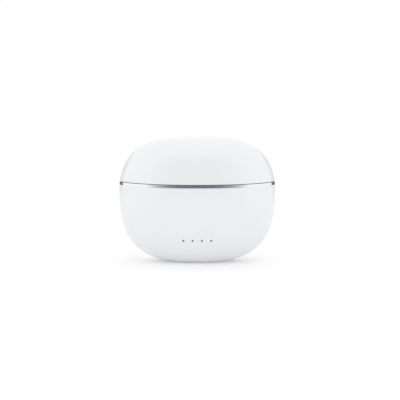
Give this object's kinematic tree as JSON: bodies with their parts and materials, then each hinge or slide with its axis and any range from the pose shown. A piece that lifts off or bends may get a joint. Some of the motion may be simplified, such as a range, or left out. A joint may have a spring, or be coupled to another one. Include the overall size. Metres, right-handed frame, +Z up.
{
  "type": "wireless earbuds charging case",
  "caption": "Pebble-shaped charging case for wireless earbuds: hinged lid, bright seam ring, charge lights, lined wells with spring contacts and a charging socket at the back.",
  "frame": {"origin": "centre of the flat foot, on the surface that the case stands on", "axes": "+Z up, front faces -Y, hinge at the back along X"},
  "size_m": [0.06, 0.027, 0.0485],
  "materials": {
    "shell_white": "satin to gloss moulded plastic, cool white",
    "tray_white": "glossy moulded plastic, white",
    "button_white": "satin plastic, white",
    "ring_chrome": "polished metal band",
    "gasket_rubber": "matt",
    "board_green": "solder mask",
    "chip_black": "moulded",
    "plug_ivory": "moulded",
    "frame_grey": "moulded",
    "tape_black": "foam tape",
    "battery_silver": "foil pouch",
    "lead_red": "insulated wire",
    "flex_amber": "polyimide film",
    "led_lens": "moulded clear resin",
    "guide_clear": "smoked clear plastic",
    "socket_steel": "drawn steel",
    "screw_steel": "turned steel",
    "hinge_steel": "satin stainless steel",
    "spring_steel": "spring wire",
    "magnet_nickel": "nickel plated",
    "contact_gold": "gold plated"
  },
  "bodies": {
    "base": {"base_shell": "shell_white", "trim_ring": "ring_chrome", "rim_gasket": "gasket_rubber", "inner_tray": "tray_white", "main_board": "board_green", "board_chips": "chip_black", "flex_plugs": "plug_ivory", "board_screws": "screw_steel", "usb_shell": "socket_steel", "usb_tongue": "chip_black", "usb_contacts": "contact_gold", "charge_leds": "led_lens", "light_guide": "guide_clear", "battery_frame": "frame_grey", "battery_tape": "tape_black", "battery_cell": "battery_silver", "battery_leads": "lead_red", "battery_plug": "plug_ivory", "contact_board_left": "board_green", "contact_board_right": "board_green", "contact_flex_left": "flex_amber", "contact_flex_right": "flex_amber", "deck_flex": "flex_amber", "latch_magnet_base": "magnet_nickel", "deck_board": "board_green", "hall_sensor": "chip_black", "tact_switch": "frame_grey", "deck_board_screws": "screw_steel", "hinge_base_bracket": "hinge_steel", "hinge_base_screws": "screw_steel", "contact_barrel_left_front": "contact_gold", "contact_spring_left_front": "spring_steel", "bud_magnet_left_front": "magnet_nickel", "contact_barrel_left_back": "contact_gold", "contact_spring_left_back": "spring_steel", "bud_magnet_left_back": "magnet_nickel", "contact_barrel_right_front": "contact_gold", "contact_spring_right_front": "spring_steel", "bud_magnet_right_front": "magnet_nickel", "contact_barrel_right_back": "contact_gold", "contact_spring_right_back": "spring_steel", "bud_magnet_right_back": "magnet_nickel"},
    "lid": {"lid_shell": "shell_white", "lid_liner": "tray_white", "hinge_lid_bracket": "hinge_steel", "hinge_lid_screws": "screw_steel", "hinge_pin": "hinge_steel", "latch_magnet_lid": "magnet_nickel", "sensor_magnet": "magnet_nickel"},
    "pair_button": {"pair_button": "button_white"},
    "plunger_left_front": {"contact_plunger_left_front": "contact_gold"},
    "plunger_left_back": {"contact_plunger_left_back": "contact_gold"},
    "plunger_right_front": {"contact_plunger_right_front": "contact_gold"},
    "plunger_right_back": {"contact_plunger_right_back": "contact_gold"}
  },
  "joints": [
    {"name": "lid_hinge", "type": "hinge", "parent": "base", "child": "lid", "pos_m": [0, 0.012, 0.0328], "axis": [-1, 0, 0], "range_deg": [0, 95]},
    {"name": "contact_left_front", "type": "slide", "parent": "base", "child": "plunger_left_front", "axis": [0, 0, -1], "range_m": [0, 0.0008], "stiffness_N_per_m": 500, "springref_m": -0.0004, "deforming": ["contact_spring_left_front"]},
    {"name": "contact_left_back", "type": "slide", "parent": "base", "child": "plunger_left_back", "axis": [0, 0, -1], "range_m": [0, 0.0008], "stiffness_N_per_m": 500, "springref_m": -0.0004, "deforming": ["contact_spring_left_back"]},
    {"name": "contact_right_front", "type": "slide", "parent": "base", "child": "plunger_right_front", "axis": [0, 0, -1], "range_m": [0, 0.0008], "stiffness_N_per_m": 500, "springref_m": -0.0004, "deforming": ["contact_spring_right_front"]},
    {"name": "contact_right_back", "type": "slide", "parent": "base", "child": "plunger_right_back", "axis": [0, 0, -1], "range_m": [0, 0.0008], "stiffness_N_per_m": 500, "springref_m": -0.0004, "deforming": ["contact_spring_right_back"]},
    {"name": "button_press", "type": "slide", "parent": "base", "child": "pair_button", "axis": [0, 0, -1], "range_m": [0, 0.0003], "stiffness_N_per_m": 4000, "springref_m": -0.0001}
  ]
}
